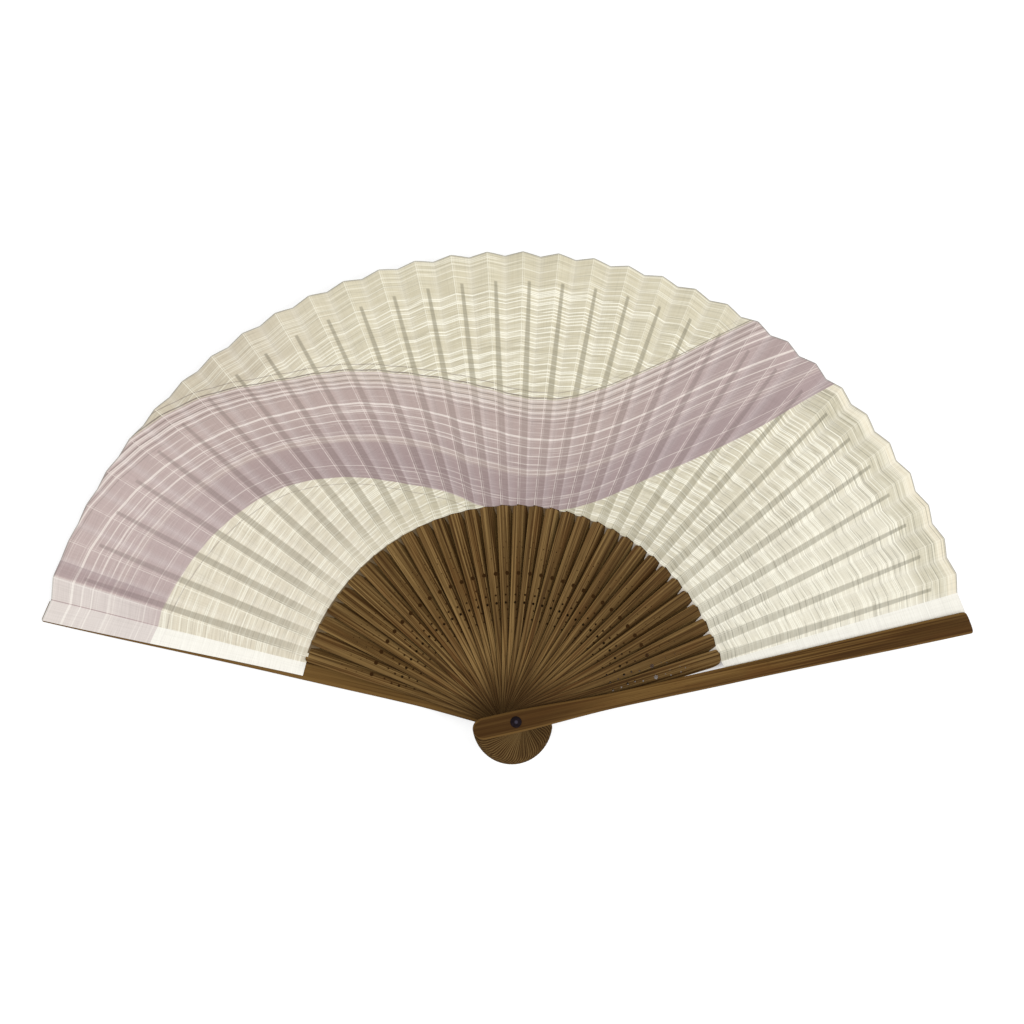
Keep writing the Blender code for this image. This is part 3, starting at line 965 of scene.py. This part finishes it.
PIN_BLACK = linear(16, 7, 12)
PIN_SCUFF = linear(34, 24, 30)
PIN_GLINT = linear(64, 60, 72)
PIN_SCUFF_FADE = (0.4, 0.75)
PIN_GLINT_FADE = (0.91 * MM, 0.42 * MM, 0.0, 0.8)
PIN_ROUGHNESS_FADE = (0.3, 0.7, 0.5, 0.7)
SCUFF_MARKS = (900.0, 900.0, 900.0)
SCUFF_DETAIL = 4.0
SCUFF_BUMP = (0.2, 0.02 * MM)


def pin_material():
    """Black lacquered metal, a little scuffed, with a painted highlight in the middle."""
    recipe = Recipe("pin_black", MATT_ROUGHNESS, MATT_GLOSS)
    spot = recipe.place()
    scuff = recipe.noise(spot, SCUFF_MARKS, SCUFF_DETAIL)
    away = recipe.length(recipe.vector("MULTIPLY", spot, (1.0, 1.0, 0.0)))
    colour = recipe.mix(recipe.span(scuff, *PIN_SCUFF_FADE), PIN_BLACK, PIN_SCUFF)
    # Painted highlight: a paler spot in the middle of the dome
    recipe.colour(recipe.mix(recipe.span(away, *PIN_GLINT_FADE), colour, PIN_GLINT))
    recipe.feed(recipe.shader.inputs["Roughness"], recipe.span(scuff, *PIN_ROUGHNESS_FADE))
    recipe.bump(scuff, *SCUFF_BUMP)
    return recipe.material


CREAM_RIGHT = linear(222, 215, 193)
CREAM_TOP = linear(217, 209, 183)
CREAM_LEFT = linear(226, 217, 196)
CREAM_OUTER_LEFT = linear(200, 189, 168)
CREAM_BEHIND_EDGE = linear(206, 199, 174)
RIGHT_LIGHT_CREAM = linear(240, 235, 217)
END_LIGHT_WHITE = linear(253, 251, 243)
LIP_SHADE = linear(100, 80, 52)
LIP_PALE_SHADE = linear(206, 198, 188)
SLUB_WHITE = linear(254, 250, 232)
EDGE_CREAM = linear(240, 231, 208)
EDGE_GREY = linear(150, 148, 142)
MAUVE = linear(190, 171, 165)
DEEP_MAUVE = linear(172, 152, 151)
MIDDLE_MAUVE = linear(181, 163, 163)
PALE_MAUVE = linear(201, 183, 180)
HATCH_CREAM = linear(224, 212, 196)
SMEAR_BEIGE = linear(224, 208, 194)
END_SHADE_MAUVE = linear(140, 118, 124)
LINE_WHITE = linear(234, 222, 214)
GREY_LINE = linear(132, 118, 112)
SHADOW_AND_WEAVE_GREY = (0.62, 0.62, 0.61, 1.0)
WHITE = (1.0, 1.0, 1.0, 1.0)

CLOTH_ROUGHNESS = 0.9
CLOTH_GLOSS = 0.1


def from_edge(start, end, *amounts):
    """A fade by how many millimetres a place lies within the leaf's outer edge."""
    return ("reach", LEAF_OUTER_REACH - start * MM, LEAF_OUTER_REACH - end * MM, *amounts)


# The cloth's fades start with the name of the fact that they go by, which the leaf's mesh holds. A change is
# a colour, followed by the fades of its share.
CREAM_CHANGES = (
    (CREAM_TOP, ("turn", 0.15, 0.45)),
    (CREAM_LEFT, ("turn", 0.55, 0.8)),
    # Painted light: the cream whitens towards the right side
    (RIGHT_LIGHT_CREAM, ("turn", 0.28, 0.13, 0.0, 0.7)),
    (CREAM_BEHIND_EDGE, ("turn", 0.36, 0.26), from_edge(20, 14, 0.0, 0.6)),
    (EDGE_CREAM, ("turn", 0.36, 0.26), from_edge(5, 3.5)),
    (CREAM_OUTER_LEFT, ("turn", 0.62, 0.72, 0.0, 0.8), from_edge(28, 12)),
)
MAUVE_CHANGES = (
    (DEEP_MAUVE, ("band", 0.75, 0.15)),
    (SMEAR_BEIGE, ("band", 0.345, 0.365), ("band", 0.425, 0.405), ("turn", 0.5, 0.8, 0.25, 0.38)),
    (MAUVE, ("turn", 0.62, 0.75, 0.0, 0.25)),
    (HATCH_CREAM, ("band", 0.82, 0.95), ("turn", 0.74, 0.62, 0.0, 0.5), ("turn", 0.4, 0.5, 0.5, 1.0)),
    (MIDDLE_MAUVE, ("turn", 0.42, 0.34, 0.0, 0.5)),
    (PALE_MAUVE, ("turn", 0.74, 0.84, 0.0, 0.6)),
)
SELVEDGE_CHANGE = (EDGE_GREY, from_edge(0.6, 0.3, 0.0, 0.7))
SHADED_END_CHANGE = (END_SHADE_MAUVE, ("painted_light_and_shade", 0.0, -1.0, 0.0, 0.6))
LIP_CHANGE = (LIP_SHADE, ("turn", 0.22, 0.42))
BAND_FADES = (("band", 0.012, 0.02), ("band", 0.992, 0.982))
END_LIGHT_FADES = (("painted_light_and_shade", 0.0, 1.0),)
END_LIGHT_CREAM_STRENGTH = 0.82
END_LIGHT_BAND_STRENGTH = 0.45
IN_LIP_FADES = (("beyond", 0.15 * MM, -0.15 * MM, 0.0, 0.95),)
VALLEY_LIGHT_FADES = (("valley_gap", 3.0 * MM, 0.0, 0.0, 0.1),)

# Tongues that show through the cloth, as a painted shadow wider and softer than the tongue
TONGUE_ROOT_SPREAD = 0.6 * MM
TONGUE_TIP_SPREAD = 0.1 * MM
TONGUE_SOFT_EDGE = 0.32 * MM
TONGUE_CREAM_STRENGTH = 0.85
TONGUE_BAND_STRENGTH = 0.55
TONGUE_THREAD_SHARE = 0.4
TONGUE_FADES = (("reach", SHOULDER_REACH, TONGUE_REACH, 0.93, 1.08),)
FAINT_ROOT_FADES = (("reach", LEAF_INNER_REACH + 18 * MM, LEAF_INNER_REACH, 0.0, 0.6), ("turn", 0.55, 0.65))

# Lines along the band, as (colour, fades, lines), a line as (place from the band's lower to its upper edge,
# half width, strength)
LINE_SHARES = (
    (LINE_WHITE, (), (
        (0.972, 0.008, 0.7), (0.928, 0.006, 0.6), (0.885, 0.007, 0.9), (0.848, 0.006, 0.9),
        (0.69, 0.011, 1.0), (0.615, 0.006, 0.85), (0.542, 0.006, 0.8), (0.41, 0.007, 0.65),
        (0.376, 0.005, 0.5), (0.135, 0.004, 0.65),
    )),
    (GREY_LINE, (("turn", 0.36, 0.5, 0.8, 1.0),), (
        (1.0, 0.007, 0.85), (0.95, 0.006, 0.6), (0.907, 0.005, 0.6), (0.867, 0.004, 0.5),
        (0.825, 0.004, 0.4),
    )),
    (GREY_LINE, (("turn", 0.36, 0.5, 0.3, 1.0),), ((1.05, 0.005, 0.6), (-0.05, 0.006, 0.4))),
)

# Pale lines along the mountain folds, as (place left of the fold, half width, strength), and their breaks
CREST_LINES = ((0.0, 0.19 * MM, 0.85), (-0.75 * MM, 0.15 * MM, 0.45))
CREST_MARKS = (0.0, 420.0, 1.0)
CREST_BREAK_FADE = (0.36, 0.55, 0.4, 0.85)
CREST_FADES = (("turn", 0.35, 0.55, 0.55, 1.0),)

# Threads, as (distance apart, changes in a half turn, noise where one starts to show, noise where it is
# full, strength, its fades). The distance is a length on the cream part and a share of its width on the band.
CREAM_THREADS = (
    (0.42 * MM, 26.0, 0.48, 0.64, 0.4),
    (0.66 * MM, 8.0, 0.54, 0.58, 1.0),
    (1.5 * MM, 24.0, 0.57, 0.68, 0.9, ("turn", 0.42, 0.3, 0.45, 1.0)),
)
CREAM_THREAD_FADES = (from_edge(16, 10, 1.0, 0.5), ("turn", 0.55, 0.68, 1.0, 0.7))
DULL_THREADS = (0.546 * MM, 18.0, 0.5, 0.64, 1.0, ("turn", 0.4, 0.2, 0.38, 0.85))
BAND_THREAD_SHARES = (
    (0.009, 14.0, 0.52, 0.68, 0.4),
    (0.0135, 6.0, 0.62, 0.68, 0.85),
)
BAND_THREAD_FADES = (("band", 0.2, 0.45, 0.5, 1.0),)
THREAD_JUMP = 17.31
THREAD_WIDTH_FADE = (0.5, 0.2)

# Weave, as marks in a half turn and in a metre of reach, with the fades of its dark places
WARP_MARKS = (1300.0, 40.0, 1.0)
WARP_FADE = (0.55, 0.3, 0.0, 0.16)
WEFT_MARKS = (40.0, 2600.0, 1.0)
WEFT_FADE = (0.55, 0.3, 0.0, 0.2)
CLOTH_BUMP = (0.25, 0.06 * MM)


def threads(recipe, fact, pitch, changes, low, high, strength, *fades):
    """Threads, each at its own value of a fact, whose strength changes slowly along them."""
    place = recipe.math("DIVIDE", recipe.fact(fact), pitch)
    jump = recipe.times(recipe.math("FLOOR", place), THREAD_JUMP)
    own = recipe.joined(recipe.times(recipe.fact("turn"), changes), jump)
    found = recipe.span(recipe.noise(own, (1.0, 1.0, 1.0), 1.0), low, high, 0.0, strength)
    middle = recipe.apart(recipe.math("FRACT", place), 0.5)
    return recipe.times(found, recipe.span(middle, *THREAD_WIDTH_FADE), recipe.fades(fades))


def threaded(recipe, plain, tint, fact, kinds, fades):
    """A colour with threads of some kinds on it, and the threads."""
    lines = recipe.most(*(threads(recipe, fact, *kind) for kind in kinds))
    lines = recipe.times(lines, recipe.fades(fades))
    return recipe.mix(lines, plain, tint), lines


def banded_cloth(recipe):
    """The banded cloth: where the band is, the plain colour, the full colour, and the threads."""
    cream = recipe.changed(CREAM_RIGHT, CREAM_CHANGES)
    cream = recipe.shaded(threads(recipe, "reach", *DULL_THREADS), cream)
    mauve = recipe.changed(MAUVE, MAUVE_CHANGES)
    inside = recipe.fades(BAND_FADES)
    lined, cream_lines = threaded(recipe, cream, SLUB_WHITE, "reach", CREAM_THREADS, CREAM_THREAD_FADES)
    band, mauve_lines = threaded(recipe, mauve, LINE_WHITE, "band", BAND_THREAD_SHARES, BAND_THREAD_FADES)
    colour = recipe.mix(inside, lined, band)
    for tint, fades, lines in LINE_SHARES:
        amount = recipe.fades(fades)
        for place, half, strength in lines:
            line = recipe.span(recipe.apart(recipe.fact("band"), place), half, half / 2, 0.0, strength)
            colour = recipe.mix(recipe.times(line, amount), colour, tint)
    colour = recipe.changed(colour, [SELVEDGE_CHANGE])
    return inside, recipe.mix(inside, cream, mauve), colour, recipe.most(cream_lines, mauve_lines)


def over_tongue(recipe):
    """Where a rib's tongue lies under the cloth, from 0 to 1."""
    reach = recipe.fact("reach")
    edge = TONGUE_ROOT_WIDTH / 2 + TONGUE_ROOT_SPREAD
    tip_edge = TONGUE_TIP_WIDTH / 2 + TONGUE_TIP_SPREAD
    slope = (tip_edge - edge) / (TONGUE_REACH - SHOULDER_REACH)
    narrowed = recipe.times(recipe.math("SUBTRACT", reach, SHOULDER_REACH), slope)
    past = recipe.math("SUBTRACT", recipe.fact("rib_gap"), narrowed)
    beside_it = recipe.span(past, edge + TONGUE_SOFT_EDGE, edge - TONGUE_SOFT_EDGE)
    short_of_tip = recipe.span(reach, TONGUE_REACH + TONGUE_SOFT_EDGE, TONGUE_REACH - TONGUE_SOFT_EDGE)
    return recipe.times(beside_it, short_of_tip)


def folded_cloth(recipe, cloth, inside, tongue, colour):
    """The colour with the folds on it: painted light in the valleys, and pale lines along the crests."""
    # Painted light along the valleys
    glow = recipe.times(recipe.fades(VALLEY_LIGHT_FADES), recipe.math("SUBTRACT", 1.0, tongue))
    colour = recipe.mix(glow, colour, WHITE)
    broken = recipe.span(recipe.noise(cloth, CREST_MARKS), *CREST_BREAK_FADE)
    kept = recipe.most(recipe.fades(CREST_FADES), inside)
    crest_white = recipe.mix(inside, SLUB_WHITE, LINE_WHITE)
    for place, half, strength in CREST_LINES:
        away = recipe.apart(recipe.fact("mountain_side"), place)
        crest = recipe.span(away, half, half / 3, 0.0, strength)
        colour = recipe.mix(recipe.times(crest, broken, kept), colour, crest_white)
    return colour


def cloth_material():
    """Slub cloth: cream, with thick and thin threads along the arcs, a mauve band, and shaded folds."""
    recipe = Recipe("slub_cloth", CLOTH_ROUGHNESS, CLOTH_GLOSS)
    cloth = recipe.joined(recipe.fact("turn"), recipe.fact("reach"))
    inside, plain, colour, lines = banded_cloth(recipe)

    # Painted shadow of each rib's tongue, seen through the cloth
    tongue = over_tongue(recipe)
    strength = recipe.times(
        tongue,
        recipe.span(inside, 0.0, 1.0, TONGUE_CREAM_STRENGTH, TONGUE_BAND_STRENGTH),
        recipe.fades(TONGUE_FADES),
        recipe.math("SUBTRACT", 1.0, recipe.fades(FAINT_ROOT_FADES)),
    )
    quiet = recipe.mix(TONGUE_THREAD_SHARE, plain, colour)
    colour = recipe.mix(strength, colour, recipe.mix(1.0, quiet, SHADOW_AND_WEAVE_GREY, "MULTIPLY"))
    colour = folded_cloth(recipe, cloth, inside, tongue, colour)

    # Painted light on the end panels, then painted shade on the end strips
    strength = recipe.span(inside, 0.0, 1.0, END_LIGHT_CREAM_STRENGTH, END_LIGHT_BAND_STRENGTH)
    colour = recipe.mix(recipe.times(recipe.fades(END_LIGHT_FADES), strength), colour, END_LIGHT_WHITE)
    colour = recipe.changed(colour, [SHADED_END_CHANGE])

    warp = recipe.noise(cloth, WARP_MARKS)
    weft = recipe.noise(cloth, WEFT_MARKS)
    colour = recipe.shaded(recipe.span(warp, *WARP_FADE), colour)
    colour = recipe.shaded(recipe.span(weft, *WEFT_FADE), colour)
    # Painted shade on the cloth between the ribs' shoulders: dark brown on the left and top, pale grey on the
    # right
    lip = recipe.changed(LIP_PALE_SHADE, [LIP_CHANGE])
    recipe.colour(recipe.mix(recipe.fades(IN_LIP_FADES), colour, lip))
    height = recipe.math("ADD", recipe.math("ADD", weft, warp), lines)
    recipe.bump(height, *CLOTH_BUMP)
    return recipe.material


# Pieces

def place_stick(name, mesh, height, number):
    """Adds a stick, turned to its angle, riding on its body in place of its CAD node."""
    node = STICKS[number]
    stick = new_object(name, mesh)
    stick.location = (0.0, 0.0, height)
    stick.rotation_euler = (0.0, 0.0, radians(ANGLES[number]))
    stick.pass_index = number + 1
    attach(stick, body_of(node))
    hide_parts(node)


def body_of(node):
    """The name of the body that a CAD node belongs to."""
    return frame["nodes"][node]["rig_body"]


def add_sticks():
    """The ribs and guards."""
    rib_bamboo = bamboo_material("rib_bamboo", RIB_COLOURS, (RIB_HEAD_FADE,), RIB_NUMBER_FADE)
    guard_bamboo = bamboo_material("guard_bamboo", GUARD_COLOURS, (GUARD_TIP_FADE, GUARD_HEAD_FADE))
    shared = rib_mesh()
    shared.materials.append(rib_bamboo)
    for number in range(1, RIB_COUNT + 1):
        place_stick(f"bamboo_rib_{number:02d}", shared, HEIGHTS[number], number)
    for name, number, outward, slant, height in (
        ("bamboo_back_guard", 0, -1, 1, BACK_FACE),
        ("bamboo_front_guard", RIB_COUNT + 1, 1, -1, FRONT_FACE),
    ):
        mesh = guard_mesh(name, outward, slant)
        mesh.materials.append(guard_bamboo)
        place_stick(name, mesh, height, number)


def add_pin():
    """The pin."""
    pin = new_object("lacquered_pin", pin_mesh(), pin_material())
    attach(pin, body_of("pivot_pin"))
    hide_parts("pivot_pin")


def add_leaf():
    """The leaf, in pleated bays that each lie between two sticks."""
    cloth = cloth_material()
    for bay in range(RIB_COUNT + 1):
        piece = new_object(f"leaf_bay_{bay:02d}", bay_mesh(bay), cloth)
        sheet = piece.modifiers.new("cloth thickness", "SOLIDIFY")
        sheet.thickness = CLOTH_THICKNESS
        sheet.offset = 0.0
        corners = [line_point(kind, stick, 0.5) for kind, stick in bay_lines(bay)]
        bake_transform(piece)
        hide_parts("leaf")
        width, length, area = flat_size(bay)


FLOOR_GREY = (FLOOR_SHADE, FLOOR_SHADE, FLOOR_SHADE, 1.0)
UNDER_FAN_SHADOW_BROWN = linear(58, 38, 18)


def under_fan_shadow_share(recipe):
    """Where the table under the ribs sees little but the open fan over it, from 0 to 1: the share of its
    painted shadow.
    """
    spot = recipe.place()
    across, up = recipe.node("SeparateXYZ", {0: spot}).outputs[:2]
    away = recipe.length(spot)
    turn = recipe.math("ARCTAN2", up, across)
    low = radians(ANGLES[-1])
    high = radians(ANGLES[0])
    return recipe.times(
        recipe.span(turn, low, low + COVER_MARGIN_RIGHT),
        recipe.span(turn, high, high - COVER_MARGIN_LEFT),
        recipe.span(away, SHOULDER_REACH + 2 * COVER_MARGIN, SHOULDER_REACH + COVER_MARGIN),
        recipe.span(away, WAIST_REACH - 2 * COVER_MARGIN, WAIST_REACH - COVER_MARGIN),
        recipe.span(recipe.openness(COVER_DISTANCE, COVER_SAMPLES), *COVER_FADE),
    )


def add_table():
    """A white table, with a painted brown shadow under the ribs."""
    build = bmesh.new()
    bmesh.ops.create_grid(build, x_segments=1, y_segments=1, size=FLOOR_HALF_SIZE)
    recipe = Recipe("table_white", 1.0, 0.0)
    seen = recipe.node("LightPath", {}).outputs
    direct = recipe.most(seen["Is Camera Ray"], seen["Is Glossy Ray"], seen["Is Transmission Ray"])
    painted_shadow = under_fan_shadow_share(recipe)
    # Painted shadow: under the ribs the table turns brown and its glow fades
    recipe.colour(recipe.mix(painted_shadow, FLOOR_GREY, UNDER_FAN_SHADOW_BROWN))
    recipe.feed(recipe.shader.inputs["Emission Color"], recipe.mix(painted_shadow, WHITE, UNDER_FAN_SHADOW_BROWN))
    recipe.feed(recipe.shader.inputs["Emission Strength"], recipe.times(direct, FLOOR_GLOW))
    floor = new_object("table_top", finished_mesh(build, "table_top"), recipe.material)
    floor.location.z = cad_box[0][2] - FLOOR_CLEARANCE


def add_light():
    """A white room and one soft lamp."""
    world = bpy.data.worlds.new("white_room")
    world.use_nodes = True
    bpy.context.scene.world = world
    tree = world.node_tree
    path = tree.nodes.new("ShaderNodeLightPath")
    strength = tree.nodes.new("ShaderNodeMapRange")
    tree.links.new(path.outputs["Is Camera Ray"], strength.inputs["Value"])
    strength.inputs["To Min"].default_value = ROOM_LIGHT
    strength.inputs["To Max"].default_value = 1.0
    back = tree.nodes["Background"]
    back.inputs["Color"].default_value = WHITE
    tree.links.new(strength.outputs[0], back.inputs["Strength"])

    lamp = bpy.data.lights.new("key_light", "SUN")
    lamp.energy = KEY_LIGHT
    lamp.angle = radians(KEY_SOFTNESS)
    key = new_object("key_light", lamp)
    key.rotation_euler = KEY_DIRECTION.to_track_quat("Z", "Y").to_euler()


def add_camera():
    """The camera, where the photograph was taken from."""
    scene = bpy.context.scene
    scene.view_settings.view_transform = "Standard"
    lens = bpy.data.cameras.new("camera")
    lens.sensor_width = CAMERA_SENSOR
    lens.lens = CAMERA_LENS
    lens.clip_start = CAMERA_NEAR_LIMIT
    camera = new_object("camera", lens)
    camera.location = CAMERA_PLACE
    camera.rotation_euler = [radians(turn) for turn in CAMERA_TURN]
    scene.camera = camera


add_table()
add_light()
add_camera()
add_sticks()
add_pin()
add_leaf()
